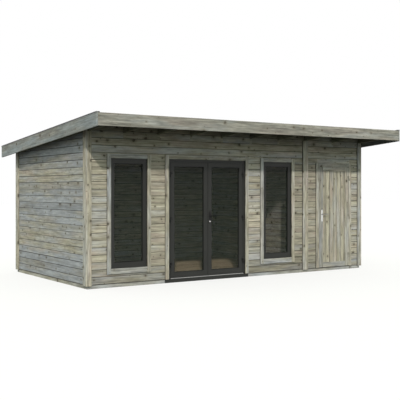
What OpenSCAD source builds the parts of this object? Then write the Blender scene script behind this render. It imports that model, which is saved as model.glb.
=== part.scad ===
// Garden shed: boarded garden room with glazed double doors, a side store and a pent roof.
// Millimetres, +Z up, front towards -Y, origin under the middle of the roof at ground level.

/* [Walls] */
// Length of the walls along the front
wall_l = 5840; // [5400:10:7000]
// Depth of the walls from front to rear
wall_d = 3015; // [2400:5:3600]
// Thickness of the boarded walls
wall_t = 44; // [28:1:60]
// Height of the front wall over the heads of its openings, up to the rafters
head_h = 406; // [300:1:600]
// Length of the store, from the middle of the partition to the right wall's outer face
store_l = 1415; // [1200:5:1600]
// Width of the bare wall beside the partition as a share of the other bare stretches of the room's front
last_pier_share = 0.75; // [0.5:0.05:1.5]
// Thickness of the corner boards and cover boards
cover_board_t = 26; // [15:1:35]
// Width of the corner boards on the front and rear faces
corner_face_w = 68; // [40:1:100]
// Width of the corner boards on the side faces
corner_side_w = 118; // [80:1:160]
// Width of the cover boards over the ends of the partition
cover_board_w = 125; // [80:1:140]
// How far the corner and cover boards hang below the wall's lower edge
board_drop = 15; // [0:1:30]

/* [Base and floor] */
// Height of the base beams
base_h = 62; // [40:1:90]
// Width of the base beams
base_w = 70; // [50:1:120]
// Setback of the base beams behind the wall face
base_inset = 3; // [0:1:30]
// Width of the floor joists
joist_w = 45; // [30:1:70]
// Widest spacing of the floor joists
joist_pitch = 520; // [350:10:700]
// Thickness of the floor boards
floor_t = 20; // [15:1:30]

/* [Windows] */
// Width of a window frame
window_w = 655; // [500:5:700]
// Height of the window openings' lower edge
window_sill_z = 295; // [200:1:900]
// Face width of a window frame at its sides
window_side_w = 72; // [50:1:100]
// Face width of a window frame at its top
window_top_w = 85; // [50:1:120]
// Face width of a window frame at its bottom
window_bottom_w = 95; // [50:1:150]

/* [Trim] */
// Width of the trim boards round the openings
trim_w = 66; // [40:1:80]
// Thickness of the trim boards
trim_t = 22; // [12:1:30]
// Gap in the joints between boards
board_joint = 0.5; // [0.3:0.1:0.9]
// Height of the trim board under a window
trim_bottom_h = 86; // [50:1:110]

/* [Double door] */
// Width of the double door's outer frame
door_w = 1570; // [1400:5:1600]
// How much higher the double door's head is than the windows' heads
door_rise = 9; // [0:1:40]
// Face width of the outer frame
door_jamb_w = 40; // [30:1:60]
// Depth of the door and window frames
frame_depth = 62; // [58:1:75]
// Depth of the lip that the leaves close towards
stop_w = 12; // [8:1:20]
// Thickness of the glazed leaves
leaf_t = 46; // [40:1:50]
// Face width of a leaf's stiles and top rail
stile_w = 79; // [70:1:110]
// Face width of a leaf's bottom rail
leaf_bottom_w = 91; // [80:1:200]
// Gap between the two leaves at their front faces
meeting_gap = 6; // [5:0.5:12]
// How much narrower a leaf is at its back, so that its free edge swings clear
meeting_bevel = 3; // [2:0.5:6]
// Height of the threshold's front nose
threshold_nose = 8; // [4:0.5:10]
// How far the threshold stands out from the wall
threshold_out = 8; // [2:0.5:20]
// Thickness of the threshold
threshold_t = 12; // [10:0.5:20]
// Thickness of the sill board in front of the base under the double door
sill_t = 14; // [8:1:20]
// Height of the sill board's lower edge above the ground
sill_lift = 4; // [0:1:15]

/* [Glass] */
// Thickness of the panes
glass_t = 6; // [4:0.5:12]
// Setback of the panes behind the frames' faces
glass_back = 26; // [15:1:30]
// Depth of the groove that holds a pane
glass_seat = 12; // [6:1:20]
// Width of the bevel round the panes
glass_bevel = 7; // [3:0.5:12]

/* [Store door] */
// Clear width between the store door's trims
store_w = 775; // [700:5:800]
// How far the store door stands to the right of the middle of the store's front
store_shift = 25; // [-40:1:40]
// Thickness of the store door's lining at its head
lining_head_t = 66; // [34:1:90]
// Thickness of the store door's lining at the sides
lining_t = 34; // [22:1:40]
// Thickness of the store door's leaf
store_leaf_t = 40; // [34:1:45]
// Face width of the store door's stiles
store_stile_w = 98; // [80:1:130]
// Face width of the store door's top rail
store_top_w = 78; // [60:1:120]
// Face width of the store door's bottom rail
store_bottom_w = 93; // [60:1:160]
// Distance of the store door's lever from its leaf's edge as a share of the stile's width
store_lever_share = 0.69; // [0.5:0.01:0.75]
// Setback of the store door's panel behind its stiles
store_panel_back = 10; // [4:1:14]
// Thickness of the store door's panel
store_panel_t = 18; // [12:1:20]
// Depth of the groove that holds the panel
store_panel_seat = 10; // [5:1:20]

/* [Hinges] */
// Radius of a hinge's knuckle
knuckle_r = 7; // [5:0.5:9]
// Radius of a hinge's pin
pin_r = 4; // [3:0.5:4.5]
// Length of one half of a hinge
hinge_half = 45; // [30:1:60]
// How far the pin ends below the top of its socket half
pin_short = 5; // [3:0.5:10]
// Distance of the outer hinges from the leaf's ends
hinge_end = 210; // [120:5:300]
// Width of a hinge's flap
flap_w = 34; // [20:1:38]
// Thickness of a hinge's flap
flap_t = 3; // [2:0.5:4]

/* [Handles] */
// Height of the double door's lever above the ground
door_lever_z = 1085; // [950:5:1200]
// Height of the store door's lever above the ground
store_lever_z = 1070; // [950:5:1200]
// Distance of the lock cylinder below the lever
lock_drop = 92; // [72:1:92]
// Width of a handle plate
plate_w = 34; // [28:1:45]
// Length of a handle plate above the lever's axis
plate_up = 82; // [40:1:110]
// Length of a handle plate below the lever's axis
plate_down = 136; // [110:1:170]
// Thickness of a handle plate
plate_t = 5; // [3:0.5:9]
// How far a lever stands out from the leaf
lever_reach = 48; // [38:1:70]
// Length of a lever's grip
lever_l = 118; // [90:1:140]
// Radius of a lever's grip
grip_r = 9; // [7:0.5:11]
// Radius of a lever's neck
neck_r = 8; // [6:0.5:9]
// Radius of the lock cylinder
lock_r = 8.5; // [7:0.5:10]
// How far the lock cylinder stands out of its plates
lock_out = 4; // [1:0.5:6]

/* [Roof] */
// Height of the shed at its front edge
roof_h = 2664; // [2630:1:2800]
// Slope of the roof down to the rear, in degrees
roof_pitch = 4.39; // [2:0.01:5]
// Roof overhang in front of the wall
overhang_front = 797; // [300:1:1000]
// Roof overhang behind the wall
overhang_rear = 227; // [100:1:300]
// Roof overhang at the left-hand side
overhang_side = 225; // [100:1:400]
// Roof overhang at the store's side
overhang_store = 255; // [100:1:400]
// Height of the barge boards
barge_h = 213; // [190:1:230]
// Thickness of the barge and fascia boards
fascia_t = 28; // [18:1:40]
// Height of the front fascia
fascia_h = 190; // [175:1:210]
// Height of the rear fascia
rear_fascia_h = 76; // [60:1:140]
// How far the front fascia's top lies below the barge boards' top
fascia_drop = 11; // [4:1:20]
// How far the barge boards stand above the roof covering
upstand = 22; // [21:1:40]
// Thickness of the roof covering
cover_t = 4; // [2:0.5:8]
// Thickness of the roof boards
deck_t = 18; // [15:1:28]
// Height of the rafters
rafter_h = 120; // [95:1:130]
// Width of the rafters
rafter_w = 44; // [35:1:60]
// Height of the rafters' rear ends, to which they taper behind the rear wall
rafter_end_h = 68; // [50:1:95]
// Widest spacing of the rafters
rafter_pitch = 720; // [400:10:900]
// Width of the strips on top of the barge boards
strip_w = 55; // [40:1:80]
// Thickness of the strips on top of the barge boards
strip_t = 3; // [1:0.5:5]
// How far the strips are turned down over the barge boards' outer faces
strip_lip = 12; // [6:1:25]

/* [Clearances] */
// Gap round a closed leaf
leaf_gap = 5; // [5:0.5:8]
// Gap between a leaf and the piece below it
leaf_lift = 6; // [5:0.5:10]
// Gap between a hinge's pin and its knuckle
pin_clear = 0.1; // [0.05:0.01:0.1]
// Gap between a hinge's knuckle and the face that its flap lies on
knuckle_clear = 1; // [0.5:0.1:2]
// Gap between the halves of a hinge
hinge_gap = 0.5; // [0.3:0.1:1]
// Gap round a lever's neck and the lock cylinder
neck_clear = 0.3; // [0.2:0.05:0.5]
// Gap in the sloped seats between the walls, rafters and roof boards
roof_seat = 0.05; // [0.02:0.01:0.2]

/* [Hidden] */
$fn = 48;
cut = 1;

// Colours
wood_grey = [0.60, 0.58, 0.53];
wood_shade = [0.50, 0.48, 0.44];
wood_inside = [0.72, 0.64, 0.50];
anthracite = [0.20, 0.21, 0.23];
pane_tint = [0.55, 0.65, 0.65, 0.4];
silver = [0.78, 0.78, 0.78];
roof_black = [0.12, 0.12, 0.13];

// Ends of the roof in length and depth
roof_x0 = -overhang_side;
roof_x1 = wall_l + overhang_store;
roof_y0 = -overhang_front;
roof_y1 = wall_d + overhang_rear;

// Depth of each roof layer's top below the barge boards' top
deck_drop = upstand + cover_t;
rafter_drop = deck_drop + deck_t;
soffit_drop = rafter_drop + rafter_h;

// Middle of the partition, from the left wall's outer face
partition_x = wall_l - store_l;

// Heads of the openings in the front wall
open_top = rafter_under(0) - head_h;
door_top = open_top + door_rise;

// Bare stretches of the room's front, between its corner board, trims and cover board
trimmed_window_w = window_w + 2 * trim_w;
trimmed_door_w = door_w + 2 * trim_w;
bare_front = partition_x - cover_board_w / 2 - corner_face_w - trimmed_door_w - 2 * trimmed_window_w;
pier_w = bare_front / (3 + last_pier_share);

// Double door
door_x0 = corner_face_w + pier_w + trimmed_window_w + pier_w + trim_w;
door_x1 = door_x0 + door_w;
room_cx = (door_x0 + door_x1) / 2;
leaf_x0 = door_x0 + door_jamb_w + leaf_gap;
leaf_x1 = room_cx - meeting_gap / 2;
leaf_z0 = base_h + threshold_t + leaf_lift;
leaf_z1 = door_top - door_jamb_w - leaf_gap;
door_pin_x = door_x0 + door_jamb_w + leaf_gap / 2;
door_lever_x = 2 * room_cx - leaf_x1 + stile_w / 2;

// Windows, a bare stretch to either side of the door
window_off = trimmed_door_w / 2 + pier_w + trimmed_window_w / 2;
window_middles = [room_cx - window_off, room_cx + window_off];

// Store door
store_cx = (partition_x + wall_t / 2 + wall_l - wall_t) / 2 + store_shift;
store_top = open_top - lining_head_t;
store_x0 = store_cx - store_w / 2;
store_x1 = store_cx + store_w / 2;
store_open_x0 = store_x0 - lining_t;
store_open_x1 = store_x1 + lining_t;
store_leaf_x0 = store_x0 + leaf_gap;
store_leaf_x1 = store_x1 - leaf_gap;
store_leaf_z0 = base_h + leaf_lift;
store_leaf_z1 = store_top - leaf_gap;
store_pin_x = store_x1 - leaf_gap / 2;
store_lever_x = store_leaf_x0 + store_stile_w * store_lever_share;

// A hinge's pin stands in front of the face that its flap lies on
pin_off = knuckle_r + knuckle_clear;
pin_l = hinge_half - pin_short;

// Ends of the boards on the outside of the walls
board_z0 = base_h - board_drop;

// Space between the front and rear base beams
cross_y0 = base_inset + base_w;
cross_y1 = wall_d - base_inset - base_w;

// Height of the barge boards' top, which the whole roof follows
function barge_top(y) = roof_h - strip_t - (y - roof_y0) * tan(roof_pitch);
function deck_under(y) = barge_top(y) - rafter_drop;
function rafter_under(y) = barge_top(y) - soffit_drop;

// Outline in Y and Z of a sloped layer between two depths below the barge boards' top
function roof_band(y0, y1, top, bottom) = [
    [y0, barge_top(y0) - bottom],
    [y1, barge_top(y1) - bottom],
    [y1, barge_top(y1) - top],
    [y0, barge_top(y0) - top]
];

// Outline in Y and Z of an upright piece that ends under the roof
function under_roof(y0, y1, z0, drop) = [
    [y0, z0],
    [y1, z0],
    [y1, barge_top(y1) - drop - roof_seat],
    [y0, barge_top(y0) - drop - roof_seat]
];

// Even steps from one place to another, both ends left out
function between(a, b, pitch) = let (n = ceil((b - a) / pitch)) [for (i = [1 : n - 1]) a + (b - a) * i / n];

// Left edges of the rafters: over both side walls, over the partition and between them
left_rafter = 0;
middle_rafter = partition_x - rafter_w / 2;
right_rafter = wall_l - rafter_w;
rafter_edges = concat(
    [left_rafter],
    between(left_rafter, middle_rafter, rafter_pitch),
    [middle_rafter],
    between(middle_rafter, right_rafter, rafter_pitch),
    [right_rafter]
);

// Middles of the cross beams and of the joists between them
left_beam = base_inset + base_w / 2;
right_beam = wall_l - base_inset - base_w / 2;
beam_middles = [left_beam, partition_x, right_beam];
joist_middles = concat(
    between(left_beam, partition_x, joist_pitch),
    between(partition_x, right_beam, joist_pitch)
);

// Puts the origin under the middle of the roof
module placed() {
    translate([-(roof_x0 + roof_x1) / 2, -(roof_y0 + roof_y1) / 2, 0]) children();
}

// Block between two corners
module block(low, high) {
    translate(low) cube(high - low);
}

// Prism along X over an outline in Y and Z
module prism_x(x0, x1, outline) {
    translate([x0, 0, 0]) rotate([90, 0, 90]) linear_extrude(x1 - x0) polygon(outline);
}

// Prism along Z over an outline in X and Y
module prism_z(z0, z1, outline) {
    translate([0, 0, z0]) linear_extrude(z1 - z0) polygon(outline);
}

// Cylinder along Y
module rod_y(y0, y1, r) {
    translate([0, y0, 0]) rotate([-90, 0, 0]) cylinder(r = r, h = y1 - y0);
}

// Turns a piece of the left leaf into the same piece of the right leaf
module right_hand() {
    translate([2 * room_cx, 0, 0]) mirror([1, 0, 0]) children();
}

// Cut through a frame: daylight opening, groove for the pane and bevel at the front face
module glazing_cut(low, high, y0, y1) {
    pane_y = y0 + glass_back;
    b = glass_bevel + cut;
    block([low[0], y0 - cut, low[1]], [high[0], y1 + cut, high[1]]);
    block([low[0] - glass_seat, pane_y, low[1] - glass_seat],
          [high[0] + glass_seat, pane_y + glass_t, high[1] + glass_seat]);
    intersection() {
        prism_z(low[1] - b, high[1] + b, [
            [low[0] - b, y0 - cut],
            [high[0] + b, y0 - cut],
            [high[0], y0 + glass_bevel],
            [low[0], y0 + glass_bevel]
        ]);
        prism_x(low[0] - b, high[0] + b, [
            [y0 - cut, low[1] - b],
            [y0 + glass_bevel, low[1]],
            [y0 + glass_bevel, high[1]],
            [y0 - cut, high[1] + b]
        ]);
    }
}

// Pane that fills a frame's groove
module pane(low, high, y0) {
    pane_y = y0 + glass_back;
    block([low[0] - glass_seat, pane_y, low[1] - glass_seat],
          [high[0] + glass_seat, pane_y + glass_t, high[1] + glass_seat]);
}

// Daylight corners of a window
function window_low(cx) = [cx - window_w / 2 + window_side_w, window_sill_z + window_bottom_w];
function window_high(cx) = [cx + window_w / 2 - window_side_w, open_top - window_top_w];

// Daylight corners of the left leaf
leaf_low = [leaf_x0 + stile_w, leaf_z0 + leaf_bottom_w];
leaf_high = [leaf_x1 - stile_w, leaf_z1 - stile_w];

// Boards down both sides of an opening and between them over its head
module trim_arch(x0, x1, z0, head) {
    for (x = [x0 - trim_w, x1])
        block([x, -trim_t, z0], [x + trim_w, 0, head + trim_w]);
    block([x0 + board_joint, -trim_t, head], [x1 - board_joint, 0, head + trim_w]);
}

// Jambs of a door frame and the head between them, each with a lip behind the leaf
module door_lining(x0, x1, z0, z1, side, head, lip_y) {
    joint = side + stop_w + board_joint;
    prism_z(z0, z1, [
        [x0, 0],
        [x0 + side, 0],
        [x0 + side, lip_y],
        [x0 + side + stop_w, lip_y],
        [x0 + side + stop_w, frame_depth],
        [x0, frame_depth]
    ]);
    prism_z(z0, z1, [
        [x1, 0],
        [x1 - side, 0],
        [x1 - side, lip_y],
        [x1 - side - stop_w, lip_y],
        [x1 - side - stop_w, frame_depth],
        [x1, frame_depth]
    ]);
    difference() {
        prism_x(x0 + side + board_joint, x1 - side - board_joint, [
            [0, z1 - head],
            [lip_y, z1 - head],
            [lip_y, z1 - head - stop_w],
            [frame_depth, z1 - head - stop_w],
            [frame_depth, z1],
            [0, z1]
        ]);
        for (x = [x0, x1 - joint])
            block([x, lip_y - board_joint, z0], [x + joint, frame_depth + cut, z1 + cut]);
    }
}

// Half of a lift-off hinge on the frame, with its pin; the pin's axis is at X = 0, Y = 0
module hinge_lower() {
    translate([0, 0, -hinge_half]) cylinder(r = knuckle_r, h = hinge_half);
    cylinder(r = pin_r, h = pin_l);
    block([-flap_w, pin_off - flap_t, -hinge_half], [0, pin_off, 0]);
}

// Half of a lift-off hinge on the leaf, with its socket
module hinge_upper() {
    difference() {
        union() {
            translate([0, 0, hinge_gap]) cylinder(r = knuckle_r, h = hinge_half);
            block([0, pin_off - flap_t, hinge_gap], [flap_w, pin_off, hinge_gap + hinge_half]);
        }
        translate([0, 0, hinge_gap - cut]) cylinder(r = pin_r + pin_clear, h = pin_l + 2 * cut);
    }
}

// Three hinges up a leaf
module hinge_row(x, face_y, z0, z1) {
    for (z = [z0 + hinge_end, (z0 + z1) / 2, z1 - hinge_end])
        translate([x, face_y - pin_off, z]) children();
}

// The same on the right-hand edge of a leaf
module mirrored_hinge_row(x, face_y, z0, z1) {
    hinge_row(x, face_y, z0, z1) mirror([1, 0, 0]) children();
}

// Plates on both faces of a leaf, bored for the lever's neck and the lock
module handle_plates(face_y, back_y, lock) {
    for (y = [face_y - plate_t, back_y])
        difference() {
            block([-plate_w / 2, y, -plate_down], [plate_w / 2, y + plate_t, plate_up]);
            rod_y(y - cut, y + plate_t + cut, neck_r + neck_clear);
            if (lock)
                translate([0, 0, -lock_drop]) rod_y(y - cut, y + plate_t + cut, lock_r + neck_clear);
        }
}

// Lever on both faces of a leaf, joined through it by its neck
module lever(face_y, back_y) {
    rod_y(face_y - lever_reach, back_y + lever_reach, neck_r);
    for (y = [face_y - lever_reach, back_y + lever_reach])
        translate([0, y, 0]) {
            sphere(r = grip_r);
            rotate([0, 90, 0]) cylinder(r = grip_r, h = lever_l);
            translate([lever_l, 0, 0]) sphere(r = grip_r);
        }
}

// Base and floor
module base_beams() {
    color(wood_shade) placed()
        for (y = [base_inset, cross_y1])
            block([base_inset, y, 0], [wall_l - base_inset, y + base_w, base_h]);
}

module base_cross_beams() {
    color(wood_shade) placed()
        for (x = beam_middles)
            block([x - base_w / 2, cross_y0, 0], [x + base_w / 2, cross_y1, base_h]);
}

module floor_joists() {
    color(wood_shade) placed()
        for (x = joist_middles)
            block([x - joist_w / 2, cross_y0, 0], [x + joist_w / 2, cross_y1, base_h]);
}

module floor_boards() {
    room_x1 = partition_x - wall_t / 2;
    store_floor_x0 = partition_x + wall_t / 2;
    color(wood_inside) placed() difference() {
        for (x = [[wall_t, room_x1], [store_floor_x0, wall_l - wall_t]])
            block([x[0], wall_t, base_h], [x[1], wall_d - wall_t, base_h + floor_t]);
        block([door_x0, 0, base_h - cut], [door_x1, frame_depth, base_h + floor_t + cut]);
        block([store_open_x0, 0, base_h - cut], [store_open_x1, frame_depth, base_h + floor_t + cut]);
    }
}

// Walls
module left_wall() {
    color(wood_grey) placed()
        prism_x(0, wall_t, under_roof(0, wall_d, base_h, soffit_drop));
}

module right_wall() {
    color(wood_grey) placed()
        prism_x(wall_l - wall_t, wall_l, under_roof(0, wall_d, base_h, soffit_drop));
}

module rear_wall() {
    color(wood_grey) placed() difference() {
        prism_x(wall_t, wall_l - wall_t, under_roof(wall_d - wall_t, wall_d, base_h, rafter_drop));
        rafter_set(cut);
    }
}

module partition_wall() {
    color(wood_inside) placed()
        prism_x(partition_x - wall_t / 2, partition_x + wall_t / 2,
                under_roof(wall_t, wall_d - wall_t, base_h, soffit_drop));
}

// Stretch of the front wall beside a door, with a window cut out of its upper edge
module windowed_wall(x0, x1, window_cx) {
    difference() {
        block([x0, 0, base_h], [x1, wall_t, open_top]);
        block([window_cx - window_w / 2, -cut, window_sill_z],
              [window_cx + window_w / 2, wall_t + cut, open_top + cut]);
    }
}

module front_wall_left() {
    color(wood_grey) placed() windowed_wall(wall_t, door_x0, window_middles[0]);
}

module front_wall_middle() {
    color(wood_grey) placed() windowed_wall(door_x1, store_open_x0, window_middles[1]);
}

module front_wall_right() {
    color(wood_grey) placed()
        block([store_open_x1, 0, base_h], [wall_l - wall_t, wall_t, open_top]);
}

module front_wall_head() {
    color(wood_grey) placed() difference() {
        prism_x(wall_t, wall_l - wall_t, under_roof(0, wall_t, open_top, rafter_drop));
        block([door_x0, -cut, open_top - cut], [door_x1, wall_t + cut, door_top]);
        rafter_set(cut);
    }
}

// Boards over the wall's corners and joints
module corner_side_boards() {
    front = [-cover_board_t, corner_side_w - cover_board_t];
    rear = [wall_d + cover_board_t - corner_side_w, wall_d + cover_board_t];
    color(wood_grey) placed()
        for (x = [-cover_board_t, wall_l], y = [front, rear])
            prism_x(x, x + cover_board_t, under_roof(y[0], y[1], board_z0, rafter_drop));
}

// Upright board on the front face and its like on the rear face
module face_board_pair(x0, x1) {
    rear_y = wall_d + cover_board_t;
    block([x0, -cover_board_t, board_z0], [x1, 0, rafter_under(0) - roof_seat]);
    block([x0, wall_d, board_z0], [x1, rear_y, rafter_under(rear_y) - roof_seat]);
}

module corner_face_boards() {
    color(wood_grey) placed() {
        face_board_pair(0, corner_face_w);
        face_board_pair(wall_l - corner_face_w, wall_l);
    }
}

module partition_cover_boards() {
    color(wood_grey) placed()
        face_board_pair(partition_x - cover_board_w / 2, partition_x + cover_board_w / 2);
}

// Windows
module window_frames() {
    color(anthracite) placed()
        for (cx = window_middles)
            difference() {
                block([cx - window_w / 2, 0, window_sill_z], [cx + window_w / 2, frame_depth, open_top]);
                glazing_cut(window_low(cx), window_high(cx), 0, frame_depth);
            }
}

module window_glass() {
    color(pane_tint) placed()
        for (cx = window_middles)
            pane(window_low(cx), window_high(cx), 0);
}

module window_trims() {
    color(wood_grey) placed()
        for (cx = window_middles)
            let (x0 = cx - window_w / 2, x1 = cx + window_w / 2) {
                trim_arch(x0, x1, window_sill_z - trim_bottom_h, open_top);
                block([x0 + board_joint, -trim_t, window_sill_z - trim_bottom_h],
                      [x1 - board_joint, 0, window_sill_z]);
            }
}

// Double door
module door_frame() {
    color(anthracite) placed()
        door_lining(door_x0, door_x1, base_h, door_top, door_jamb_w, door_jamb_w, leaf_t + leaf_gap);
}

// Board in front of the base, under the frame and its trims
module door_sill() {
    color(anthracite) placed()
        block([door_x0 - trim_w, base_inset - sill_t, sill_lift], [door_x1 + trim_w, base_inset, base_h]);
}

// Bar between the jambs, under the leaves, notched round the jambs' lips
module door_threshold() {
    notch_w = door_jamb_w + stop_w + board_joint;
    notch_y = leaf_t + leaf_gap - board_joint;
    top = base_h + threshold_t;
    color(silver) placed() difference() {
        prism_x(door_x0 + door_jamb_w + board_joint, door_x1 - door_jamb_w - board_joint, [
            [-threshold_out, top],
            [-threshold_out, top - threshold_nose],
            [0, base_h],
            [frame_depth, base_h],
            [frame_depth, top]
        ]);
        for (x = [door_x0, door_x1 - notch_w])
            block([x, notch_y, base_h - cut], [x + notch_w, frame_depth + cut, top + cut]);
    }
}

module door_trim() {
    color(wood_grey) placed() trim_arch(door_x0, door_x1, base_h, door_top);
}

// Fixed halves of the hinges of all three leaves
module hinge_pins() {
    color(anthracite) placed() {
        hinge_row(door_pin_x, 0, leaf_z0, leaf_z1) hinge_lower();
        right_hand() hinge_row(door_pin_x, 0, leaf_z0, leaf_z1) hinge_lower();
        mirrored_hinge_row(store_pin_x, -trim_t, store_leaf_z0, store_leaf_z1) hinge_lower();
    }
}

// Stiles and rails of the left leaf, narrower at the back of its free edge
module glazed_leaf() {
    difference() {
        prism_z(leaf_z0, leaf_z1, [
            [leaf_x0, 0],
            [leaf_x1, 0],
            [leaf_x1 - meeting_bevel, leaf_t],
            [leaf_x0, leaf_t]
        ]);
        glazing_cut(leaf_low, leaf_high, 0, leaf_t);
    }
}

module left_leaf_frame() {
    color(anthracite) placed() glazed_leaf();
}

module left_leaf_glass() {
    color(pane_tint) placed() pane(leaf_low, leaf_high, 0);
}

module left_leaf_hinges() {
    color(anthracite) placed()
        hinge_row(door_pin_x, 0, leaf_z0, leaf_z1) hinge_upper();
}

module right_leaf_frame() {
    color(anthracite) placed() difference() {
        right_hand() glazed_leaf();
        translate([door_lever_x, 0, door_lever_z]) {
            rod_y(-cut, leaf_t + cut, neck_r + neck_clear);
            translate([0, 0, -lock_drop]) rod_y(-cut, leaf_t + cut, lock_r + neck_clear);
        }
    }
}

module right_leaf_glass() {
    color(pane_tint) placed() right_hand() pane(leaf_low, leaf_high, 0);
}

module right_leaf_hinges() {
    color(anthracite) placed()
        right_hand() hinge_row(door_pin_x, 0, leaf_z0, leaf_z1) hinge_upper();
}

module door_handle_plates() {
    color(anthracite) placed()
        translate([door_lever_x, 0, door_lever_z]) handle_plates(0, leaf_t, true);
}

module door_lock_cylinder() {
    reach = plate_t + lock_out;
    color(silver) placed()
        translate([door_lever_x, 0, door_lever_z - lock_drop]) rod_y(-reach, leaf_t + reach, lock_r);
}

module door_lever() {
    color(anthracite) placed()
        translate([door_lever_x, 0, door_lever_z]) lever(0, leaf_t);
}

// Store door
module store_door_frame() {
    lip_y = store_leaf_t - trim_t + leaf_gap;
    color(wood_grey) placed()
        door_lining(store_open_x0, store_open_x1, base_h, open_top, lining_t, open_top - store_top, lip_y);
}

module store_door_trim() {
    color(wood_grey) placed() trim_arch(store_x0, store_x1, base_h, store_top);
}

store_low = [store_leaf_x0 + store_stile_w, store_leaf_z0 + store_bottom_w];
store_high = [store_leaf_x1 - store_stile_w, store_leaf_z1 - store_top_w];

// Slab that fills the groove in the store leaf's stiles and rails
module store_panel_slab() {
    y0 = store_panel_back - trim_t;
    block([store_low[0] - store_panel_seat, y0, store_low[1] - store_panel_seat],
          [store_high[0] + store_panel_seat, y0 + store_panel_t, store_high[1] + store_panel_seat]);
}

// Stiles the full height of the store leaf, and rails between them
module store_leaf_frame() {
    back_y = store_leaf_t - trim_t;
    color(wood_grey) placed() difference() {
        union() {
            for (x = [store_leaf_x0, store_high[0]])
                block([x, -trim_t, store_leaf_z0], [x + store_stile_w, back_y, store_leaf_z1]);
            for (z = [[store_leaf_z0, store_low[1]], [store_high[1], store_leaf_z1]])
                block([store_low[0] + board_joint, -trim_t, z[0]], [store_high[0] - board_joint, back_y, z[1]]);
        }
        store_panel_slab();
        translate([store_lever_x, 0, store_lever_z])
            rod_y(-trim_t - cut, back_y + cut, neck_r + neck_clear);
    }
}

module store_leaf_panel() {
    color(wood_grey) placed() store_panel_slab();
}

module store_leaf_hinges() {
    color(silver) placed()
        mirrored_hinge_row(store_pin_x, -trim_t, store_leaf_z0, store_leaf_z1) hinge_upper();
}

module store_handle_plates() {
    color(silver) placed()
        translate([store_lever_x, 0, store_lever_z])
            handle_plates(-trim_t, store_leaf_t - trim_t, false);
}

module store_lever() {
    color(silver) placed()
        translate([store_lever_x, 0, store_lever_z]) lever(-trim_t, store_leaf_t - trim_t);
}

// Roof
module rafter_set(over = 0) {
    y0 = roof_y0 + fascia_t;
    y1 = roof_y1 - fascia_t;
    taper_y = wall_d + cover_board_t;
    top = rafter_drop + roof_seat - over;
    for (x = rafter_edges)
        prism_x(x, x + rafter_w, [
            [y0, barge_top(y0) - soffit_drop],
            [taper_y, barge_top(taper_y) - soffit_drop],
            [y1, barge_top(y1) - rafter_drop - rafter_end_h],
            [y1, barge_top(y1) - top],
            [y0, barge_top(y0) - top]
        ]);
}

module rafters() {
    color(wood_shade) placed() rafter_set();
}

// Sloped layer between the barge boards, from the front fascia to the rear edge
module roof_layer(top, bottom) {
    prism_x(roof_x0 + fascia_t, roof_x1 - fascia_t, roof_band(roof_y0 + fascia_t, roof_y1, top, bottom));
}

module roof_deck() {
    color(wood_shade) placed() roof_layer(deck_drop, rafter_drop);
}

module roof_covering() {
    color(roof_black) placed() roof_layer(upstand, deck_drop);
}

fascia_top = barge_top(roof_y0) - fascia_drop;

module front_fascia() {
    color(wood_grey) placed()
        block([roof_x0 + fascia_t, roof_y0, fascia_top - fascia_h],
              [roof_x1 - fascia_t, roof_y0 + fascia_t, fascia_top]);
}

module rear_fascia() {
    color(wood_grey) placed()
        prism_x(roof_x0 + fascia_t, roof_x1 - fascia_t,
                under_roof(roof_y1 - fascia_t, roof_y1, deck_under(roof_y1) - rear_fascia_h, rafter_drop));
}

module barge_boards() {
    color(wood_grey) placed()
        for (x = [roof_x0, roof_x1 - fascia_t])
            prism_x(x, x + fascia_t, roof_band(roof_y0, roof_y1, 0, barge_h));
}

// Strip on the left barge board, turned down over its outer face, onto the roof covering
// behind the fascia and onto the fascia's end
module edge_strip() {
    inner = roof_x0 + strip_w;
    prism_x(roof_x0 - strip_t, inner, roof_band(roof_y0, roof_y1, -strip_t, 0));
    prism_x(roof_x0 - strip_t, roof_x0, roof_band(roof_y0, roof_y1, -strip_t, strip_lip));
    prism_x(inner - strip_t, inner, roof_band(roof_y0 + fascia_t, roof_y1, -strip_t, upstand));
    prism_x(roof_x0 + fascia_t, inner, under_roof(roof_y0, roof_y0 + strip_t, fascia_top, -strip_t / 2));
}

module edge_strips() {
    color(roof_black) placed() {
        edge_strip();
        translate([roof_x0 + roof_x1, 0, 0]) mirror([1, 0, 0]) edge_strip();
    }
}

base_beams();
base_cross_beams();
floor_joists();
floor_boards();
left_wall();
right_wall();
rear_wall();
partition_wall();
front_wall_left();
front_wall_middle();
front_wall_right();
front_wall_head();
corner_side_boards();
corner_face_boards();
partition_cover_boards();
window_frames();
window_glass();
window_trims();
door_frame();
door_sill();
door_threshold();
door_trim();
hinge_pins();
left_leaf_frame();
left_leaf_glass();
left_leaf_hinges();
right_leaf_frame();
right_leaf_glass();
right_leaf_hinges();
door_handle_plates();
door_lock_cylinder();
door_lever();
store_door_frame();
store_door_trim();
store_leaf_frame();
store_leaf_panel();
store_leaf_hinges();
store_handle_plates();
store_lever();
rafters();
roof_deck();
roof_covering();
front_fascia();
rear_fascia();
barge_boards();
edge_strips();
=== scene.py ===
"""Garden shed: boards, painted frames, fittings, materials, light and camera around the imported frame."""

import math
import random

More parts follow.
